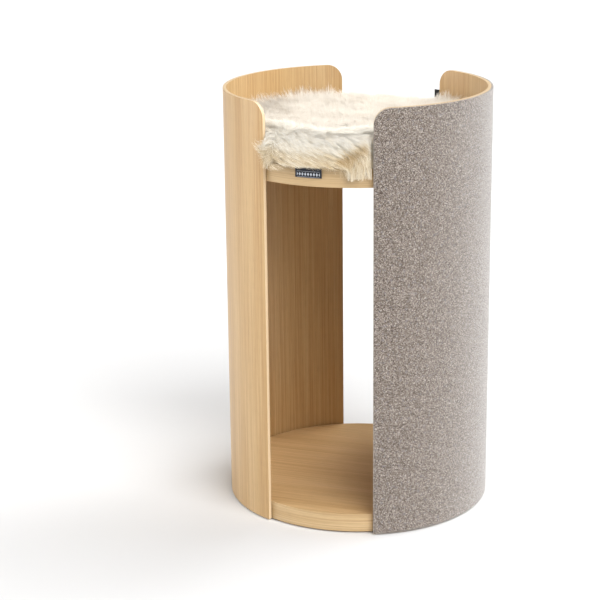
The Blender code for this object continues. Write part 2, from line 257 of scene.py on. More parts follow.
def veneer(name, light, middle, dark, layered=False):
    """Pale straight-grained ash under satin lacquer. layered shows the plies on a shell's edges."""
    s = Shader(name, middle, 0.42, Coat_Weight=0.12, Coat_Roughness=0.35)
    bands = s.noise(s.grain(24, 0.8, 24), detail=2)
    streaks = s.noise(s.grain(330, 2.6, 110), detail=3, roughness=0.6, distortion=0.3)
    lines = s.noise(s.grain(820, 4.5, 300), detail=2)
    fibres = s.noise(s.grain(1500, 16, 600), detail=2)
    pores = s.noise(s.grain(2100, 42, 900), detail=1)
    tone = s.total((bands, 0.26), (streaks, 0.44), (lines, 0.30))
    colour = s.colours(tone, ((0.36, dark), (0.50, middle), (0.62, light)))
    fibre_shade = s.ramp(fibres, 0.30, 0.70, 0.90, 1.05)
    pore_shade = s.ramp(pores, 0.30, 0.40, 0.78, 1.0)
    shade = s.maths("MULTIPLY", fibre_shade, pore_shade)
    grey = s.node("ShaderNodeCombineColor", Red=shade, Green=shade, Blue=shade).outputs["Color"]
    colour = s.mix(0.75, colour, grey, "MULTIPLY")
    if layered:
        depth = s.part(s.grain(1, 1, 1), "Z")
        place = s.maths("DIVIDE", s.maths("SUBTRACT", depth, PLY_INSIDE), PLY_THICKNESS)
        wave = s.maths("SINE", s.maths("MULTIPLY", place, PLY_WAVES * math.tau))
        layers = s.ramp(wave, -0.3, 0.5)
        plies = s.mix(layers, linear(206, 178, 140), linear(232, 208, 172))
        inside = s.maths("MULTIPLY", s.ramp(place, 0.02, 0.07), s.ramp(place, 0.93, 0.98, 1.0, 0.0))
        colour = s.mix(inside, colour, s.mix(0.5, plies, grey, "MULTIPLY"))
    s.feed("Base Color", colour)
    s.feed("Roughness", s.ramp(streaks, 0.2, 0.8, 0.36, 0.50))
    s.bump(s.total((fibres, 0.4), (pore_shade, 0.6)), distance=0.00012, strength=0.5)
    return s.mat


def tweed():
    """Thick milled wool: brown, taupe, grey and cream flecks about 1 mm across, and bluish patches."""
    s = Shader("tweed", linear(146, 132, 122), 0.95, Sheen_Weight=0.72, Sheen_Roughness=0.45)
    wander = s.noise(s.grain(420, 380, 300), detail=3)
    flecks = s.part(s.cells(s.grain(1060, 980, 500)), "X")
    fine = s.part(s.cells(s.grain(1500, 1400, 800)), "Y")
    mixed = s.total((flecks, 0.52), (fine, 0.38), (wander, 0.22))
    stops = (
        (0.17, linear(34, 26, 21)),
        (0.37, linear(73, 60, 51)),
        (0.55, linear(108, 95, 85)),
        (0.73, linear(149, 137, 127)),
        (0.92, linear(214, 206, 196)),
    )
    colour = s.colours(mixed, stops)
    patches = s.ramp(s.noise(s.grain(190, 150, 90), detail=1), 0.56, 0.72)
    colour = s.mix(s.maths("MULTIPLY", patches, 0.35), colour, linear(130, 130, 137))
    s.feed("Base Color", colour)
    fuzz = s.noise(s.grain(2600, 2600, 2600), detail=2)
    s.bump(s.maths("ADD", mixed, fuzz), distance=0.0006, strength=0.7)
    return s.mat


def woven(name, dark, light, threads):
    """A tight plain weave with so many threads a metre, for the flat base panel and zip tape."""
    s = Shader(name, dark, 0.85, Sheen_Weight=0.2, Sheen_Roughness=0.5)
    place = s.node("ShaderNodeTexCoord").outputs["Object"]
    across = s.maths("SINE", s.maths("MULTIPLY", s.part(place, "X"), math.tau * threads))
    along = s.maths("SINE", s.maths("MULTIPLY", s.part(place, "Y"), math.tau * threads))
    weave = s.maths("MULTIPLY", across, along)
    uneven = s.noise(place, detail=3, scale=threads / 6)
    tone = s.maths("ADD", s.maths("MULTIPLY", weave, 0.25), uneven)
    s.feed("Base Color", s.colours(tone, ((0.2, dark), (0.8, light))))
    s.bump(weave, distance=0.0002, strength=0.6)
    return s.mat


def ribbon_weave(name, ground, thread, row_half_length):
    """Fine twill ribbon. Where it has a row, pale lozenges are picked out between two edge lines."""
    twill = 1800  # ribs a metre
    pitch = 0.0052  # from one lozenge to the next
    half_height = 0.0031  # of a lozenge
    steepness = 1.6  # its half height over its half width
    line_place, line_half_width = 0.0048, 0.00018
    s = Shader(name, ground, 0.75, Sheen_Weight=0.25, Sheen_Roughness=0.5)
    flat = s.grain(1, 1, 1)
    x, z = s.part(flat, "X"), s.part(flat, "Y")
    off_middle = s.maths("ABSOLUTE", z)
    ribs = s.maths("SINE", s.maths("MULTIPLY", s.maths("ADD", x, z), math.tau * twill))
    uneven = s.noise(s.grain(2500, 2500, 2500), detail=2)
    tone = s.maths("ADD", s.maths("MULTIPLY", ribs, 0.22), uneven)
    darker, lighter = (tuple(c * factor for c in ground) for factor in (0.6, 1.6))
    colour = s.colours(tone, ((0.1, darker), (0.9, lighter)))
    if row_half_length:
        off_centre = s.maths("PINGPONG", x, pitch / 2)
        lozenge = s.maths("ADD", s.maths("MULTIPLY", off_centre, steepness), off_middle)
        picked = s.maths("LESS_THAN", lozenge, half_height)
        inside = s.maths("LESS_THAN", s.maths("ABSOLUTE", x), row_half_length)
        off_line = s.maths("ABSOLUTE", s.maths("SUBTRACT", off_middle, line_place))
        lines = s.maths("LESS_THAN", off_line, line_half_width)
        picked = s.maths("MULTIPLY", s.maths("MAXIMUM", picked, lines), inside)
        colour = s.mix(s.maths("MULTIPLY", picked, 0.85), colour, thread)
    s.feed("Base Color", colour)
    s.bump(tone, distance=0.0001, strength=0.6)
    return s.mat


def speckled(name, colour, other, size, roughness, depth, **sockets):
    """A material with grains of a size, for felt, foam, hide, and cast or plated metal."""
    s = Shader(name, colour, roughness, **sockets)
    place = s.node("ShaderNodeTexCoord").outputs["Object"]
    grains = s.noise(place, detail=3, scale=1 / size)
    s.feed("Base Color", s.colours(grains, ((0.3, colour), (0.7, other))))
    s.feed("Roughness", s.ramp(grains, 0.2, 0.8, roughness * 0.85, min(1.0, roughness * 1.15)))
    s.bump(grains, distance=depth, strength=0.6)
    return s.mat


ASH = (linear(203, 172, 126), linear(191, 156, 108), linear(173, 133, 84))
shell_wood = veneer("shell_veneer", *ASH, layered=True)
board_wood = veneer("board_veneer", linear(210, 177, 132), linear(195, 160, 113), linear(175, 137, 90))
band_wood = veneer("edge_band_veneer", linear(203, 175, 134), linear(188, 158, 115), linear(169, 137, 94))
cloth = tweed()
LABEL_ROW = 0.0208  # half the length of the label's row of lozenges
label_cloth = ribbon_weave("label_weave", linear(28, 31, 40), linear(206, 212, 222), LABEL_ROW)
flag_cloth = ribbon_weave("flag_weave", linear(20, 21, 24), linear(120, 124, 130), 0.0)
panel_cloth = woven("panel_weave", linear(198, 188, 166), linear(222, 214, 196), 900)
tape_cloth = woven("zip_tape_weave", linear(186, 174, 150), linear(212, 202, 180), 1400)
felt = speckled("glide_felt", linear(92, 88, 84), linear(124, 119, 113), 0.0012, 0.95, 0.0004)
foam = speckled("foam", linear(238, 230, 200), linear(214, 204, 170), 0.0016, 0.95, 0.0006)
zinc = speckled(
    "cast_zinc", linear(176, 178, 182), linear(150, 152, 156), 0.0010, 0.42, 0.00006, Metallic=1.0
)
steel = speckled(
    "plated_steel", linear(196, 198, 200), linear(176, 178, 180), 0.0008, 0.28, 0.00003, Metallic=1.0
)
dowel_wood = speckled("beech", linear(214, 176, 128), linear(192, 150, 104), 0.0030, 0.65, 0.0001)


def give(ob, mat):
    """Makes mat the only material of a piece or of a carried-over CAD node."""
    if ob.data.materials:
        for i in range(len(ob.data.materials)):
            ob.material_slots[i].material = mat
    else:
        ob.data.materials.append(mat)
    return ob


# ==== Shells and tweed
def outline_columns(half_span, bottom, top, corner, radius, middle_steps, corner_steps=12):
    """(angle, bottom, top) of each upright line across a panel whose top corners are rounded."""
    per_metre = math.degrees(1 / radius)
    edge = []
    for i in range(corner_steps + 1):
        turn = math.pi / 2 * i / corner_steps
        edge.append((corner * (1 - math.cos(turn)) * per_metre, top - corner * (1 - math.sin(turn))))
    left = [(-half_span + inwards, bottom, z) for inwards, z in edge]
    right = [(half_span - inwards, bottom, z) for inwards, z in reversed(edge)]
    reach = half_span - corner * per_metre
    middle = [(-reach + 2 * reach * i / middle_steps, bottom, top) for i in range(1, middle_steps)]
    return left + middle + right


def across_thickness(edge):
    """True for an edge that runs through the panel from its inner face to its outer face."""
    a, b = (v.co.xy.length for v in edge.verts)
    return abs(a - b) > 1e-4


def bent_panel(name, middle_angle, inside, outside, columns, edge_radius, edge_steps, rows=1):
    """A curved panel with the edges of both faces rounded over, and rows of faces up its height."""
    bm = bmesh.new()
    rings = []
    for angle, low, high in columns:
        turn = middle_angle + angle
        heights = [low + (high - low) * i / rows for i in range(rows + 1)]
        ring = [bm.verts.new(on_circle(outside, turn, z)) for z in heights]
        ring += [bm.verts.new(on_circle(inside, turn, z)) for z in reversed(heights)]
        rings.append(ring)
    join_rings(bm, rings)
    bm.normal_update()
    folded = [e for e in bm.edges if e.calc_face_angle(0.0) > math.radians(60)]
    bmesh.ops.bevel(
        bm, geom=[e for e in folded if not across_thickness(e)], offset=edge_radius,
        segments=edge_steps, profile=0.5, affect="EDGES", clamp_overlap=True,
    )
    return piece_from(name, bm, sharp=40)


def make_shells():
    """The two bent plywood shells, with veneer on their faces and bare plies on their edges."""
    columns = outline_columns(
        HALF_SPAN, shell_low.z, shell_high.z, CORNER_RADIUS, WOOD_RADIUS, middle_steps=72
    )
    for side, middle in SIDE_ANGLE.items():
        shell = bent_panel(
            f"{side}_shell_ply", middle, PLY_INSIDE, WOOD_RADIUS, columns, edge_radius=0.0010, edge_steps=3
        )
        grain_round_axis(shell, middle)
        give(shell, shell_wood)
        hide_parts(f"{side}_shell")
        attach(shell, "frame")


def make_tweed():
    """The tweed skin, glued to the ply up to its edges, with its felted surface in the mesh."""
    past_edges = 0.0007
    below_rim = 0.0004
    nub_height, swell_height = 0.00012, 0.00012
    sunk = 0.0002  # so that the nubs stay within the CAD's fabric
    half_span = HALF_SPAN + math.degrees(past_edges / WOOD_RADIUS)
    columns = outline_columns(
        half_span, fabric_low.z, shell_high.z - below_rim, CORNER_RADIUS, WOOD_RADIUS,
        middle_steps=150, corner_steps=10,
    )
    skin = bent_panel(
        "right_shell_tweed", SIDE_ANGLE["right"], FABRIC_INSIDE, FABRIC_OUTSIDE, columns,
        edge_radius=0.0014, edge_steps=3, rows=200,
    )
    grain_round_axis(skin, SIDE_ANGLE["right"])
    p = points_of(skin.data)
    radius = np.hypot(p[:, 0], p[:, 1])
    outer = np.clip((radius - FABRIC_INSIDE) / (FABRIC_OUTSIDE - FABRIC_INSIDE), 0, 1)
    arc = np.arctan2(p[:, 1], p[:, 0]) * WOOD_RADIUS
    nubs = np.array([noise.noise(Vector((u * 160, v * 140, 3.0))) for u, v in zip(arc, p[:, 2])])
    swell = np.array([noise.noise(Vector((u * 60, v * 45, 9.0))) for u, v in zip(arc, p[:, 2])])
    push = outer * (nub_height * nubs + swell_height * swell - sunk)
    p[:, 0] += push * p[:, 0] / radius
    p[:, 1] += push * p[:, 1] / radius
    set_points(skin.data, p)
    give(skin, cloth)
    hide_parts("right_shell_fabric")
    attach(skin, "frame")


make_shells()
make_tweed()


# ==== Woven labels
RIBBON = 0.0012  # thickness of both ribbons at their edges
LABEL_MIDDLE_Z = label_low.z + 0.0060


def ribbon(name, centre_line, bottom, top, mat, rows=24):
    """A woven strip along (x, y, outward x, outward y) points, thinner between its two selvedges."""
    thin, selvedge_share, end = 0.62, 0.09, 0.35
    bm = bmesh.new()
    rings = []
    heights = [bottom + (top - bottom) * i / rows for i in range(rows + 1)]
    for x, y, nx, ny in centre_line:
        ring = []
        for side in (1, -1):
            for z in heights if side > 0 else reversed(heights):
                share = (z - bottom) / (top - bottom)
                selvedge = thin + (1 - thin) * max(0.0, 1 - min(share, 1 - share) / selvedge_share)
                out = side * RIBBON / 2 * (selvedge if 0 < share < 1 else end)
                ring.append(bm.verts.new((x + nx * out, y + ny * out, z)))
        rings.append(ring)
    join_rings(bm, rings)
    return give(piece_from(name, bm), mat)


def make_cushion_label():
    """The ribbon that hangs in front of the shelf, curved as the cushion's front is."""
    radius = -label_low.y - RIBBON / 2
    half = math.degrees(math.asin(min(1.0, (label_high.x - label_low.x) / 2 / radius)))
    middle = math.degrees(math.atan2(-radius, (label_high.x + label_low.x) / 2))
    line = []
    for i in range(41):
        a = math.radians(middle - half + 2 * half * i / 40)
        line.append((radius * math.cos(a), radius * math.sin(a), math.cos(a), math.sin(a)))
    label = ribbon("cushion_woven_label", line, label_low.z, label_high.z, label_cloth)
    p = points_of(label.data)
    turn = np.degrees(np.arctan2(p[:, 1], p[:, 0])) - middle
    set_grain(label, np.stack((np.radians(turn) * radius, p[:, 2] - LABEL_MIDDLE_Z, p[:, 0] * 0), 1))
    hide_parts("cushion_label")
    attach(label, "cushion")


def make_shell_flag():
    """The small ribbon sewn into the tweed's back seam, slightly bowed."""
    bow = 0.0006
    start = Vector((flag_high.x, flag_low.y, 0))
    run = Vector((flag_low.x - flag_high.x, flag_high.y - flag_low.y, 0))
    out = Vector((run.y, -run.x, 0)).normalized()
    line = []
    for i in range(21):
        share = i / 20
        place = start + run * share + out * (bow * math.sin(math.pi * share))
        line.append((place.x, place.y, out.x, out.y))
    flag = ribbon("shell_woven_flag", line, flag_low.z, flag_high.z, flag_cloth)
    p = points_of(flag.data)
    along = (p[:, :2] - np.array(start[:2])) @ np.array(run.normalized()[:2])
    set_grain(flag, np.stack((along, p[:, 2] - (flag_low.z + flag_high.z) / 2, p[:, 0] * 0), 1))
    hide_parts("shell_flag_label")
    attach(flag, "frame")


make_cushion_label()
make_shell_flag()


# ==== Boards and edge bands
def turned_ring(name, profile, ring=True):
    """Turned about Z from (radius, z) points: a closed ring, or a disc if ring is False."""
    bm = bmesh.new()
    angles = [i * 360.0 / ROUND_SEGMENTS for i in range(ROUND_SEGMENTS)]
    rings = [[bm.verts.new(on_circle(r, angle, z)) for angle in angles] for r, z in profile]
    if ring:
        rings.append(rings[0])
    join_rings(bm, rings, caps=not ring)
    return piece_from(name, bm)


def rounded_corners(inner, outer, low, high, radius, steps=4):
    """(radius, z) points round a band's section, with its two outer corners rounded."""
    points = [(inner, low)]
    for middle_z, start in ((low + radius, -90.0), (high - radius, 0.0)):
        for i in range(steps + 1):
            a = math.radians(start + 90.0 * i / steps)
            points.append((outer - radius + radius * math.cos(a), middle_z + radius * math.sin(a)))
    return [*points, (inner, high)]


def cut_pockets(board, board_name):
    """Cuts the cams' pockets in a board's underside."""
    clearance = 0.0004
    for side in SIDE_ANGLE:
        for place in ("front", "back"):
            low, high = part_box(f"{board_name}_{side}_{place}_cam")
            middle = (low + high) / 2
            radius = (high.x - low.x) / 2 + clearance
            depth = high.z - low.z + clearance
            bm = bmesh.new()
            bmesh.ops.create_cone(
                bm, cap_ends=True, segments=40, radius1=radius, radius2=radius, depth=2 * depth,
                matrix=Matrix.Translation((middle.x, middle.y, low.z - clearance)),
            )
            tool = piece_from(f"{board_name}_{side}_{place}_pocket", bm)
            mod = board.modifiers.new("pocket", "BOOLEAN")
            mod.operation = "DIFFERENCE"
            mod.object = tool
            board.data = modified_mesh(board)
            board.modifiers.clear()
            bpy.data.objects.remove(tool)
    board.data.set_sharp_from_angle(angle=math.radians(SHARP_FOLD))


def make_board(board_name, low, high):
    """A board's core with its cam pockets, and the veneer band round its edge."""
    band_thickness = 0.001
    inside = BOARD_RADIUS - band_thickness
    sides = [(inside, low.z), (inside, high.z)]
    core = turned_ring(f"{board_name}_board_core", sides, ring=False)
    cut_pockets(core, board_name)
    p = points_of(core.data)
    set_grain(core, np.stack((p[:, 1], p[:, 0], p[:, 2]), 1))
    give(core, board_wood)
    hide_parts(f"{board_name}_board")
    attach(core, "frame")
    profile = rounded_corners(inside, BOARD_RADIUS, low.z, high.z, radius=0.0007)
    band = turned_ring(f"{board_name}_veneer_band", profile)
    grain_round_axis(band, FRONT, grain_upright=False)
    give(band, band_wood)
    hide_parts(f"{board_name}_edge_band")
    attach(band, "frame")


make_board("base", base_low, base_high)
make_board("shelf", shelf_low, shelf_high)


# ==== Carried-over CAD nodes
for node_name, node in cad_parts.items():
    if node_name.endswith("_cam"):
        give(node, zinc)
    elif node_name.endswith("_cam_bolt"):
        give(node, steel)
    elif node_name.endswith("_dowel"):
        give(node, dowel_wood)
    elif node_name.startswith("felt_glide"):
        give(node, felt)
give(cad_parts["cushion_zip_slider"], zinc)
give(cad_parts["cushion_foam_core"], foam)
give(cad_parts["cushion_zip_tape"], tape_cloth)
give(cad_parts["cushion_base_panel"], panel_cloth)


# ==== Cushion pad
PAD_RADIUS = 0.222
PAD_TOP = foam_high.z + 0.0045
PAD_BOTTOM = cover_low.z + 0.0006
PAD_LIP = 0.0188  # radius of the pad's rounded side
FRONT_BULGE = 0.011  # how far the pad leans out of the front gap
CAVITY_RADIUS = 0.0001 + (panel_high.x - panel_low.x) / 2


def smooth(low, high, value):
    """From 0 to 1 as value goes from low to high, with soft ends. low may be the larger."""
    t = np.clip((value - low) / (high - low), 0, 1)
    return t * t * (3 - 2 * t)


def unit(vectors, least=1e-9):
    """The vectors, scaled to a length of 1."""
    return vectors / np.maximum(np.linalg.norm(vectors, axis=-1, keepdims=True), least)


class Waves:
    """Smooth repeatable noise: plane waves of about one size, with a spread of about 1."""

    def __init__(self, rng, size, count=16):
        travel = unit(rng.normal(size=(count, 3)))
        self.rate = travel * (math.tau / size) * rng.uniform(0.7, 1.4, (count, 1))
        self.phase = rng.uniform(0, math.tau, count)

    def __call__(self, p):
        return np.sin(p @ self.rate.T + self.phase).sum(-1) * math.sqrt(2 / len(self.phase))


def polar(p):
    """Radius, and angle in degrees, of each point."""
    return np.hypot(p[..., 0], p[..., 1]), np.degrees(np.arctan2(p[..., 1], p[..., 0]))


def gap_offset(angle):
    """Degrees from the middle of the nearer of the two gaps between the shells."""
    return angle - np.where(angle < 0, FRONT, BACK)


def below_top(p):
    """How far points are below the pad's top."""
    return PAD_TOP - p[..., 2]


def pad_edge(angle):
    """The pad's radius: it leans out between the shells at the front."""
    return PAD_RADIUS + FRONT_BULGE * (1 - smooth(18.5, 23.3, np.abs(angle - FRONT)))


def pad_distance(p):
    """How far each point is from the pad's skin, and the direction straight away from it."""
    r, angle = polar(p)
    middle, half = (PAD_TOP + PAD_BOTTOM) / 2, (PAD_TOP - PAD_BOTTOM) / 2
    across = r - (pad_edge(angle) - PAD_LIP)
    above = p[..., 2] - middle
    up = np.abs(above) - (half - PAD_LIP)
    out_r, out_z = np.maximum(across, 0), np.maximum(up, 0)
    corner = np.hypot(out_r, out_z)
    distance = corner + np.minimum(np.maximum(across, up), 0) - PAD_LIP
    flat_side = across > up
    n_r = np.where(corner > 1e-9, out_r / np.maximum(corner, 1e-9), np.where(flat_side, 1.0, 0.0))
    n_z = np.where(corner > 1e-9, out_z / np.maximum(corner, 1e-9), np.where(flat_side, 0.0, 1.0))
    n_z = n_z * np.where(above < 0, -1.0, 1.0)
    a = np.radians(angle)
    return distance, np.stack((n_r * np.cos(a), n_r * np.sin(a), n_z), -1)


def make_pad():
    """The stitched skin, a closed shell round the foam, inflated by cloth simulation."""
    angles = [-180 + 2 * i for i in range(180)]
    cavity_top = PAD_TOP - 0.004
    bm = bmesh.new()
    rings = [[bm.verts.new((0, 0, PAD_TOP))]]

    def ring(share, beyond, z):
        """A ring at a share of the way out to the rounded side, and a length beyond that."""
        reach = [(float(pad_edge(np.array(angle))) - PAD_LIP) * share + beyond for angle in angles]
        rings.append([bm.verts.new(on_circle(r, angle, z)) for r, angle in zip(reach, angles)])

    for i in range(1, 16):
        ring(0.06 * i, 0.0, PAD_TOP)
    for turn in range(90, -90, -10):
        a = math.radians(turn)
        middle_z = PAD_TOP - PAD_LIP if turn > 0 else PAD_BOTTOM + PAD_LIP
        ring(1.0, PAD_LIP * math.cos(a), middle_z + PAD_LIP * math.sin(a))
    outer_count = len(rings)
    ring(0.0, CAVITY_RADIUS, PAD_BOTTOM)
    for share in (1.0, 0.8, 0.6, 0.4, 0.2):
        ring(0.0, CAVITY_RADIUS * share, cavity_top)
    rings.append([bm.verts.new((0, 0, cavity_top))])
    bm.verts.index_update()
    held = [v.index for r in rings[outer_count - 1:] for v in r]
    join_rings(bm, rings, caps=False)
    pad = piece_from("cushion_pad_skin", bm, sharp=60)
    inflate(pad, held, cap=0.0022)
    give(pad, hide)
    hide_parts("cushion_pile_cover")
    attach(pad, "cushion")


def inflate(ob, held, cap):
    """Blows the piece up as cloth, with the held points fixed, and keeps each move under cap."""
    start = points_of(ob.data)
    group = ob.vertex_groups.new(name="held")
    group.add(held, 1.0, "REPLACE")
    s = ob.modifiers.new("cloth", "CLOTH").settings
    s.quality = 6
    s.mass = 0.25
    s.use_pressure = True
    s.uniform_pressure_force = 4.0
    s.effector_weights.gravity = 0.0
    s.vertex_group_mass = "held"
    s.pin_stiffness = 1.0
    s.shrink_min = -0.02
    scene = bpy.context.scene
    for frame_number in range(1, 21):
        scene.frame_set(frame_number)
    swollen = modified_mesh(ob)
    move = points_of(swollen) - start
    ob.modifiers.clear()
    ob.vertex_groups.clear()
    bpy.data.meshes.remove(swollen)
    scene.frame_set(1)
    size = np.linalg.norm(move, axis=1, keepdims=True)
    move *= np.tanh(size / cap) * cap / np.maximum(size, 1e-9)
    set_points(ob.data, start + move)


# ==== Pile: locks of long wool over short down, where each lock's hairs lean to its guide hair
LOCKS = 4500
LONG_HAIRS = 230000  # at the front lip's density
DOWN_HAIRS = 115000
THINNING = 0.14  # the share of the hairs that stay, away from the front lip
HAIR_STEPS = 6
GOLDEN_ANGLE = 137.50776
COMB = np.array([-0.40, 0.50, 0.0])  # the way the crown's hair lies: back, and to the left
PART_RADIUS = 0.180  # the crown's hair and the lip's hair part at this radius
TUFT_RISE = 0.009  # how much higher the tuft at the front's left end stands
RISE_WITHIN = 0.007  # a hair rises steeply until it is this near its height
WALL_INSIDE = PLY_INSIDE - 0.002  # hairs between the shells stay within this radius
WALL_OUTSIDE = {"left": WOOD_RADIUS + 0.0020, "right": FABRIC_OUTSIDE + 0.0028}  # and others beyond
GAP = 23.3  # half the angle of the gaps that hairs may leave through
SHELF_TOP = shelf_high.z + 0.0015
SHELF_EDGE = 0.0010 - label_low.y  # below the shelf's top, hairs stay this far out, past the label
PILE_FRONT = -0.2700  # no hair goes further to the front
HEM_LEFT = shelf_high.z - 0.0090  # how low the pile may hang in the front gap
HEM_MIDDLE = shelf_high.z - 0.0035
HEM_RIGHT = shelf_high.z - 0.0195
CREASE_TOP = np.array(on_circle(0.243, FRONT + 20, PAD_TOP - 0.0004))
CREASE_END = np.array(on_circle(0.243, FRONT + 11, PAD_TOP - 0.0264))
SOFT_SHADING = 2.2  # how far a hair's normals turn to the pile's own surface
UPTURN = 0.8  # and that surface's normals upwards, as light soaks through wool
LIP_TONES = (
    linear(255, 250, 238), linear(253, 244, 226), linear(242, 228, 202),
    linear(226, 207, 172), linear(197, 169, 128),
)  # from the palest to the root's; the darker ones are painted shade for the roots, the lip's face and the crease
# The crown's tones are the lip's wool painted darker and greyer, as painted shade against the stronger
# light on the top; the lip's stay paler against its self-shadowing.
CROWN_TONES = (linear(239, 230, 216), linear(231, 220, 204), linear(219, 204, 181))
pile_looks = [
    Shader(f"pile_{i}", colour, 0.70, Sheen_Weight=0.08, Specular_IOR_Level=0.15).mat
    for i, colour in enumerate(LIP_TONES + CROWN_TONES, start=1)
]
hide = speckled("pile_hide", linear(232, 216, 184), linear(216, 196, 156), 0.002, 0.9, 0.0004)


def confine(before, after, lift):
    """Keeps hairs out of the shells, the shelf and the label, as they go from before to after."""
    last_r, _ = polar(before)
    r, angle = polar(after)
    centre = np.where(angle < 0, FRONT, BACK)
    off = angle - centre
    in_gap = np.abs(off) < GAP
    beyond = np.where(after[:, 0] < 0, WALL_OUTSIDE["left"], WALL_OUTSIDE["right"])
    was_outside = last_r >= beyond - 1e-6
    was_between = (last_r > WALL_INSIDE + 1e-6) & ~was_outside
    held_in = ~in_gap & ~was_outside & ~was_between
    r = np.where(held_in, np.minimum(r, WALL_INSIDE), r)
    squeezed = ~in_gap & was_between
    angle = np.where(squeezed, centre + np.sign(off) * GAP, angle)
    r = np.where(~in_gap & was_outside, np.maximum(r, beyond), r)
    z = after[:, 2]
    over_shelf = r < BOARD_RADIUS + 0.0008  # clear of the shelf's edge band
    z = np.where(over_shelf, np.maximum(z, SHELF_TOP), z)
    r = np.where(~over_shelf & (z < SHELF_TOP), np.maximum(r, SHELF_EDGE), r)
    z = np.maximum(z, hem(angle) + lift)
    a = np.radians(angle)
    return np.stack((r * np.cos(a), np.maximum(r * np.sin(a), PILE_FRONT), z), -1)


def hem(angle):
    """The pile's lower edge: over the label, and lower at the left and by the right shell."""
    off = angle - FRONT
    left = HEM_LEFT + (HEM_MIDDLE - HEM_LEFT) * smooth(-13, -9.5, off)
    right = HEM_MIDDLE + (HEM_RIGHT - HEM_MIDDLE) * smooth(3.5, 13, off)
    return np.where(off < 0, left, right)


def flow(p, low_root, turn, bend_waves):
    """Which way hairs run, and how far each is in the left tuft (spill) and along a shell (walled).

    They are combed back on the crown, and turn outwards at the rim. At the front they fall to the
    right, hang straight by the right shell, and spill to the left at the left end.
    """
    r, angle = polar(p)
    a = np.radians(angle)
    outwards = np.stack((np.cos(a), np.sin(a), 0 * a), -1)
    onwards = np.stack((-np.sin(a), np.cos(a), 0 * a), -1)
    front_off = angle - FRONT
    front_half = 1 - smooth(35, 75, np.abs(front_off))
    rim = smooth(0.11 + 0.040 * front_half, 0.20 + 0.015 * front_half, r + 0.10 * turn)
    at_front = (1 - smooth(24, 40, np.abs(front_off))) * smooth(0.145, 0.190, r)
    spill = at_front * smooth(-13, -22, front_off)
    hang = at_front * smooth(9, 16, front_off) * smooth(0.0094, 0.0214, below_top(p))
    walled = smooth(GAP - 1, GAP + 5, np.abs(gap_offset(angle)))
    swirl = 0.25 + at_front * 1.75 - 1.85 * hang - 3.5 * spill * (1 - 0.55 * low_root)
    fall = 0.75 + 0.9 * hang - 0.60 * spill * (1 - low_root) + 0.6 * spill * low_root
    down = fall * (1 - walled) * smooth(0.212, 0.238, r)
    level = COMB * (1 - rim)[:, None] + outwards * (0.85 * rim)[:, None]
    level += onwards * (swirl * rim)[:, None]
    x, y = level[:, 0], level[:, 1]
    bend = turn + (0.55 - 0.25 * at_front) * bend_waves(p)
    cos, sin = np.cos(bend), np.sin(bend)
    return np.stack((x * cos - y * sin, x * sin + y * cos, -down), -1), spill, walled


def grow(bend_waves, roots, lengths, height, turn, lift, guides=None, pull=None):
    """Hair paths as (hair, step, xyz). Each rises to its height over the pad, and then runs level.

    turn bends a hair sideways, lift keeps it over the hem, and pull draws it to its guide's path.
    """
    p = roots.copy()
    path = [p]
    low_root = smooth(0.0174, 0.0314, below_top(roots))
    for step in range(HAIR_STEPS):
        t = step / (HAIR_STEPS - 1)
        beside = p.copy()
        beside[:, 2] = np.maximum(p[:, 2], (PAD_TOP + PAD_BOTTOM) / 2)
        distance, away = pad_distance(beside)
        heading, spill, walled = flow(p, low_root, turn, bend_waves)
        heading = unit(heading - away * (heading * away).sum(-1, keepdims=True), least=1e-6)
        still_to_rise = height + TUFT_RISE * spill - distance
        rise = np.clip(still_to_rise / RISE_WITHIN, -0.9, 2.6 - 2.2 * t)
        heading = heading + away * rise[:, None]
        r, angle = polar(p)
        curl = walled * smooth(0.196, 0.222, r)
        curl *= smooth(height + 0.017, height + 0.004, -below_top(p))
        heading[:, 2] += 1.1 * curl
        if guides is not None:
            towards = (guides[:, step + 1] - p) / (lengths / HAIR_STEPS)[:, None]
            heading = heading + towards * (pull * (0.25 + 0.75 * t))[:, None]
        heading = unit(heading)
        at_hem = p[:, 2] < hem(angle) + lift + 0.003
        stride = lengths / HAIR_STEPS * np.where(at_hem & (heading[:, 2] < 0), 0.35, 1.0)
        p = confine(p, p + heading * stride[:, None], lift)
        path.append(p)
    return np.stack(path, 1)


def scatter(rng, count, jitter):
    """Points spread evenly over the pad's top and lip, by area, on a sunflower spiral."""
    lip_steps = np.linspace(0, 1, 60)
    flat = np.linspace(0, PAD_RADIUS - PAD_LIP, 60)
    turn = np.radians(90 - 125 * lip_steps)  # from the top, round the lip and a little under it
    reach = np.concatenate((flat, flat[-1] + PAD_LIP * np.cos(turn[1:])))
    height = np.concatenate((flat * 0 + PAD_TOP, PAD_TOP - PAD_LIP + PAD_LIP * np.sin(turn[1:])))
    along = np.hypot(np.diff(reach), np.diff(height))
    area = np.concatenate(((0,), np.cumsum((reach[1:] + reach[:-1]) / 2 * along)))
    share = (np.arange(count) + 0.5) / count * area[-1]
    place = np.interp(share, area, np.arange(len(area))) + rng.normal(0, jitter, count)
    place = np.clip(place, 0, len(area) - 1)
    angle = np.arange(count) * GOLDEN_ANGLE + rng.normal(0, jitter * 2, count)
    angle = (angle + 180) % 360 - 180
    r = np.interp(place, np.arange(len(area)), reach)
    r *= 1 + (pad_edge(angle) / PAD_RADIUS - 1) * smooth(0.10, 0.20, r)
    z = np.interp(place, np.arange(len(area)), height)
    a = np.radians(angle)
    return np.stack((r * np.cos(a), r * np.sin(a), z), -1)


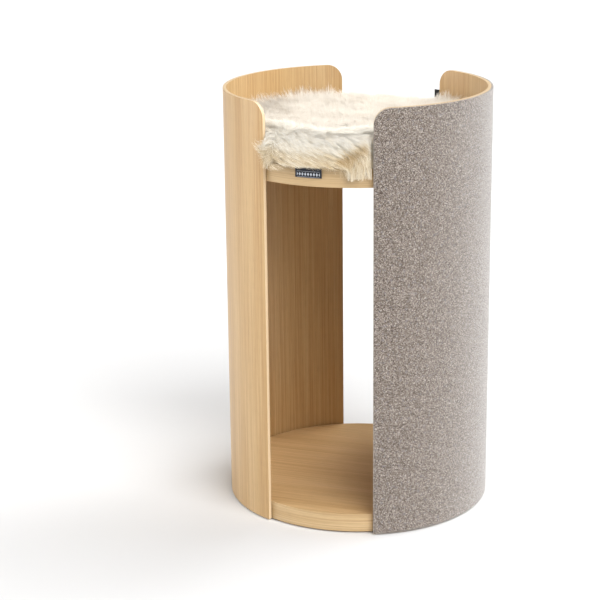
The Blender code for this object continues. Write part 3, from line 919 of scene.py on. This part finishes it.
def blades(paths, width, thickness):
    """Tapered three-sided hairs: points, normals, quads, triangles, and the step of each face."""
    hairs, steps, _ = paths.shape
    along = unit(np.gradient(paths, axis=1))
    _, away = pad_distance(paths)
    side = unit(np.cross(along, away + 0.05))
    top = np.cross(side, along)
    share = np.linspace(0, 1, steps)[None, :, None]
    taper = (1 - share**2.2) * 0.9 + 0.1
    w, h = width[:, None, None] * taper / 2, thickness[:, None, None] * taper / 2
    corners = np.stack((paths - side * w, paths + side * w, paths + top * h * 2), 2)
    body = corners[:, :-1].reshape(hairs, -1, 3)
    points = np.concatenate((body, paths[:, -1:]), 1)
    own = np.stack((-side, side, top * 1.2), 2)
    open_way = away + np.array((0.0, 0.0, UPTURN))
    normals = own + open_way[:, :, None] * SOFT_SHADING
    normals = unit(np.concatenate((normals[:, :-1].reshape(hairs, -1, 3), open_way[:, -1:]), 1))
    per_hair = points.shape[1]
    quads, triangles = [], [(0, 1, 2)]
    for k in range(steps - 2):
        for i in range(3):
            j = (i + 1) % 3
            quads.append((3 * k + j, 3 * k + i, 3 * k + 3 + i, 3 * k + 3 + j))
    last = 3 * (steps - 2)
    for i in range(3):
        triangles.append((last + (i + 1) % 3, last + i, per_hair - 1))
    quad_step = np.repeat(np.arange(steps - 2), 3)
    triangle_step = np.array([0] + [steps - 2] * 3)
    start = (np.arange(hairs) * per_hair)[:, None, None]
    return (
        points.reshape(-1, 3),
        normals,
        (start + np.array(quads)[None]).reshape(-1, 4),
        (start + np.array(triangles)[None]).reshape(-1, 3),
        quad_step,
        triangle_step,
    )


def mesh_from(name, points, normals, quads, triangles, quad_look, triangle_look):
    """A mesh in the pile's looks, from arrays of points, faces and each face's look."""
    corners = np.concatenate((quads.ravel(), triangles.ravel()))
    starts = np.concatenate((np.arange(len(quads)) * 4, quads.size + np.arange(len(triangles)) * 3))
    looks = np.concatenate((quad_look, triangle_look))
    mesh = bpy.data.meshes.new(name)
    mesh.vertices.add(len(points))
    mesh.vertices.foreach_set("co", points.astype(np.float32).ravel())
    mesh.loops.add(len(corners))
    mesh.loops.foreach_set("vertex_index", corners.astype(np.int32))
    mesh.polygons.add(len(starts))
    mesh.polygons.foreach_set("loop_start", starts.astype(np.int32))
    for look in pile_looks:
        mesh.materials.append(look)
    mesh.polygons.foreach_set("material_index", looks.astype(np.int32))
    mesh.update(calc_edges=True)
    mesh.shade_smooth()
    mesh.normals_split_custom_set_from_vertices(normals)
    return show(name, mesh)


def crease(p, size):
    """How near points are to the crease in the pile's face by the right shell, from 0 to 1."""
    run = CREASE_END - CREASE_TOP
    share = np.clip((p - CREASE_TOP) @ run / (run @ run), 0, 1)
    off = np.linalg.norm(p - CREASE_TOP - share[..., None] * run, axis=-1)
    return (1 - 0.5 * share) * np.exp(-((off / size) ** 2))


def nearest_lock(points, locks):
    """The number of the lock that is nearest to each point."""
    tree = kdtree.KDTree(len(locks))
    for i, co in enumerate(locks):
        tree.insert(co, i)
    tree.balance()
    return np.array([tree.find(co)[1] for co in points])


def near_front(p, inner, outer, reach):
    """From 0 to 1 between two radii, and only up to a reach in degrees from the front's middle."""
    r, angle = polar(p)
    return smooth(inner, outer, r) * (1 - smooth(24, reach, np.abs(angle - FRONT)))


def at_lip(p):
    return near_front(p, PART_RADIUS, 0.205, 30)


def at_wall(p):
    """How near points on the pad are to a shell, from 0 to 1."""
    r, angle = polar(p)
    return smooth(0.150, 0.205, r) * smooth(GAP, GAP + 10, np.abs(gap_offset(angle)))


def below_skin(roots):
    """The roots, set a little into the pad so that none shows."""
    _, away = pad_distance(roots)
    return roots - away * 0.0012


class Fleece:
    """The pile's locks, and the two coats of hair that grow in them."""

    def __init__(self, seed):
        self.rng = np.random.default_rng(seed)
        self.bend = Waves(self.rng, 0.075)
        self.mound = Waves(self.rng, 0.120)
        self.lump = Waves(self.rng, 0.050)
        self.tint = Waves(self.rng, 0.060)
        self.make_locks()

    def height(self, p):
        """How high the pile stands: more at the walls and the back, and less in the crease."""
        r, angle = polar(p)
        swell = 0.0135 + 0.0018 * self.mound(p) + 0.0010 * self.lump(p)
        at_front = 1 - smooth(20, 40, np.abs(angle - FRONT))
        brow = 0.004 * smooth(0.20, 0.225, r) * smooth(0.0254, 0.0134, below_top(p))
        front_roll = at_front * (0.003 * smooth(0.15, 0.19, r) - brow)
        back_roll = 0.0115 * smooth(0.08, 0.17, r) * (1 - smooth(25, 60, np.abs(angle - 135)))
        height = np.clip(swell + front_roll + back_roll + 0.0120 * at_wall(p), 0.006, 0.040)
        height += 0.0045 * at_front * np.exp(-(((r - PART_RADIUS) / 0.014) ** 2))
        return height * (1 - 0.6 * crease(p, 0.020))

    def make_locks(self):
        """The locks, longer at the front, and in its two tufts, than on the crown."""
        rng = self.rng
        self.locks = scatter(rng, LOCKS, 0.6)
        front_off = polar(self.locks)[1] - FRONT
        self.lock_height = self.height(self.locks) + rng.normal(0, 0.0008, LOCKS)
        self.lock_length = rng.uniform(0.034, 0.052, LOCKS)
        crown = (1 - at_lip(self.locks) - 0.6 * at_wall(self.locks)).clip(0, 1)
        self.lock_length *= 1 - 0.38 * crown
        self.lock_length += 0.006 * smooth(-3, -12, front_off) * smooth(-40, -26, front_off)
        self.lock_length += 0.012 * smooth(7, 13, front_off) * smooth(34, 24, front_off)
        self.lock_turn = rng.normal(0, 0.16, LOCKS)
        twist = rng.normal(0, 0.30, LOCKS)
        self.lock_turn += twist * smooth(8, 14, front_off) * smooth(30, 24, front_off)
        self.lock_lift = rng.uniform(0, 0.006, LOCKS)
        self.lock_tone = rng.normal(0, 1, LOCKS)
        self.guides = grow(
            self.bend, self.locks, self.lock_length, self.lock_height, self.lock_turn, self.lock_lift
        )

    def thinned(self, count):
        """Roots, all of those at the front lip and a share of the others."""
        roots = scatter(self.rng, count, 0.5)
        kept = THINNING + (1 - THINNING) * near_front(roots, 0.150, 0.185, 30)
        return roots[self.rng.random(count) < kept]

    def finish_coat(self, name, roots, lock, paths, width, middle_tone, pieces):
        """Gives each hair its tone, of the crown's or the lip's, at random where the two meet."""
        # painted shade: crown hairs take the darker crown tones, where the top gets more light
        crown = self.rng.random(len(roots)) > near_front(roots, 0.130, 0.205, 42)
        lip = at_lip(roots)
        own = self.rng.normal(0, 0.5, len(roots)) * (1 + 0.5 * lip)
        tone = middle_tone + own + 0.30 * self.tint(roots) + self.lock_tone[lock] * (0.06 + 0.26 * lip)
        paint_and_split(name, paths, width, tone, crown, lock, pieces)

    def make_long_wool(self):
        rng = self.rng
        roots = self.thinned(LONG_HAIRS)
        hairs = len(roots)
        lock = nearest_lock(roots, self.locks)
        lip = at_lip(roots)
        loose = rng.random(hairs) < 0.35 - 0.15 * lip
        lengths = self.lock_length[lock] * rng.uniform(0.72, 1.05, hairs)
        height = self.lock_height[lock] + rng.normal(0, 0.0012, hairs)
        height += loose * rng.uniform(0, 0.004, hairs)
        turn = self.lock_turn[lock] + rng.normal(0, 0.10, hairs)
        turn += loose * rng.normal(0, 0.45, hairs)
        pull = np.where(loose, 0.02, rng.uniform(0.01, 0.10, hairs) * (1 + 3 * lip))
        lift = self.lock_lift[lock] + rng.exponential(0.0015, hairs)
        guides = self.guides[lock]
        paths = grow(self.bend, below_skin(roots), lengths, height, turn, lift, guides, pull)
        width = rng.uniform(0.00042, 0.00072, hairs) * np.where(loose, 0.7, 1.0) * (1 - 0.35 * lip)
        self.finish_coat("cushion_long_wool", roots, lock, paths, width, middle_tone=0.4, pieces=9)

    def make_down(self):
        rng = self.rng
        roots = self.thinned(DOWN_HAIRS)
        hairs = len(roots)
        lock = nearest_lock(roots, self.locks)
        lengths = rng.uniform(0.016, 0.030, hairs)
        height = self.height(roots) * rng.uniform(0.5, 0.95, hairs)
        turn = rng.normal(0, 0.7, hairs)
        paths = grow(self.bend, below_skin(roots), lengths, height, turn, self.lock_lift[lock] + 0.002)
        width = rng.uniform(0.0006, 0.0009, hairs) * (1 - 0.35 * at_lip(roots))
        # painted shade: the down starts darker than the long wool, for the shade between the locks
        self.finish_coat("cushion_wool_down", roots, lock, paths, width, middle_tone=0.6, pieces=5)


def paint_and_split(name, paths, width, tone, crown, lock, pieces):
    """Makes the hairs in a few pieces, sorted by lock. Tone 0 is the palest.

    They are painted darker at their roots, on the lip's face and in the crease: painted shade, where the
    pile lies in shade.
    """
    hairs = len(paths)
    points, normals, quads, triangles, quad_step, triangle_step = blades(paths, width, width * 0.22)
    per_hair = len(points) // hairs
    points = points.reshape(hairs, per_hair, 3)
    quads = quads.reshape(hairs, -1, 4)
    triangles = triangles.reshape(hairs, -1, 3)

    r, _ = polar(paths)
    on_face = smooth(-0.0126, 0.0254, below_top(paths)) * smooth(0.205, 0.235, r)
    # painted shade: darker down the lip's face and in the crease by the right shell
    painted_shade = 2.0 * on_face + 3.2 * crease(paths, 0.0115)
    # painted shade: each step nearer the root is a tone darker, more so on the face
    root_shade_per_step = 0.12 + 0.25 * on_face[:, :1]

    def looks_at(steps):
        level = np.round(tone[:, None] + root_shade_per_step * (3.6 - steps[None, :]) + painted_shade[:, steps])
        lip_look = np.clip(level, 0, len(LIP_TONES) - 1)
        crown_look = len(LIP_TONES) + np.clip(level, 0, len(CROWN_TONES) - 1)
        return np.where(crown[:, None], crown_look, lip_look)

    quad_look, triangle_look = looks_at(quad_step), looks_at(triangle_step)
    order = np.argsort(lock, kind="stable")
    for number, chosen in enumerate(np.array_split(order, pieces), start=1):
        shift = ((np.arange(len(chosen)) - chosen) * per_hair)[:, None, None]
        ob = mesh_from(
            f"{name}_{number}",
            points[chosen].reshape(-1, 3),
            normals[chosen].reshape(-1, 3),
            (quads[chosen] + shift).reshape(-1, 4),
            (triangles[chosen] + shift).reshape(-1, 3),
            quad_look[chosen].ravel(),
            triangle_look[chosen].ravel(),
        )
        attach(ob, "cushion")


make_pad()
fleece = Fleece(seed=7)
fleece.make_long_wool()
fleece.make_down()


# ==== Studio
CAMERA_AZIMUTH = 19.5
CAMERA_ELEVATION = 16.46
CAMERA_DISTANCE = 3.253
CAMERA_ROLL = -0.64
TARGET_ACROSS = -0.1058
TARGET_HEIGHT = 0.3672
FOCAL_SHARE = 2.923  # focal length over sensor width
LIGHT_SPREAD = 45
LIGHTS = {  # azimuth (0 in front, 90 on the right), elevation and strength
    "key": (50, 42, 2.80),
    "key_low": (50, 18, 0.60),
    "front": (0, 40, 0.55),
    "left": (-75, 18, 2.10),
    "back_right": (130, 34, 1.80),
    "back": (160, 45, 1.10),
}
FLOOR_RADIUS = 1000.0  # so wide that its edge is never in view


def direction(azimuth, elevation):
    """From the object towards a light or the camera."""
    a, e = math.radians(azimuth), math.radians(elevation)
    return Vector((math.sin(a) * math.cos(e), -math.cos(a) * math.cos(e), math.sin(e)))


def make_camera():
    """A camera in front and to the right, with the photo's slight tilt."""
    a, r = math.radians(CAMERA_AZIMUTH), math.radians(CAMERA_ROLL)
    right = Vector((math.cos(a), math.sin(a), 0))
    back = direction(CAMERA_AZIMUTH, CAMERA_ELEVATION)
    up = back.cross(right)
    across = right * math.cos(r) + up * math.sin(r)
    upright = up * math.cos(r) - right * math.sin(r)
    place = right * TARGET_ACROSS + Vector((0, 0, TARGET_HEIGHT)) + back * CAMERA_DISTANCE
    data = bpy.data.cameras.new("camera")
    data.sensor_width = 36.0
    data.lens = FOCAL_SHARE * data.sensor_width
    cam = show("camera", data)
    axes = Matrix((across, upright, back)).transposed().to_4x4()
    cam.matrix_world = Matrix.Translation(place) @ axes
    bpy.context.scene.camera = cam


def soft_light(name, azimuth, elevation, strength):
    """A wide, far soft box aimed at the object."""
    towards = direction(azimuth, elevation)
    light = bpy.data.lights.new(name, "SUN")
    light.angle = math.radians(LIGHT_SPREAD)
    light.energy = strength
    ob = show(name, light)
    ob.location = Vector((0, 0, 0.4)) + towards * 3
    ob.rotation_mode = "QUATERNION"
    ob.rotation_quaternion = towards.to_track_quat("Z", "Y")


def make_studio():
    """A plain white floor, a dim world and the soft lights."""
    bm = bmesh.new()
    bmesh.ops.create_circle(bm, cap_ends=True, segments=96, radius=FLOOR_RADIUS)
    floor = piece_from("studio_floor", bm)
    glow = {"Emission_Color": (1, 1, 1), "Emission_Strength": 0.01}
    paper = Shader("paper", (0.74, 0.74, 0.74), 0.9, **glow)
    give(floor, paper.mat)
    world = bpy.data.worlds.new("studio")
    world.use_nodes = True
    background = world.node_tree.nodes["Background"]
    background.inputs["Color"].default_value = (1.0, 1.0, 1.0, 1.0)
    background.inputs["Strength"].default_value = 0.02
    bpy.context.scene.world = world
    for name, (azimuth, elevation, strength) in LIGHTS.items():
        soft_light(name, azimuth, elevation, strength)
    bpy.context.scene.view_settings.view_transform = "Standard"


make_camera()
make_studio()
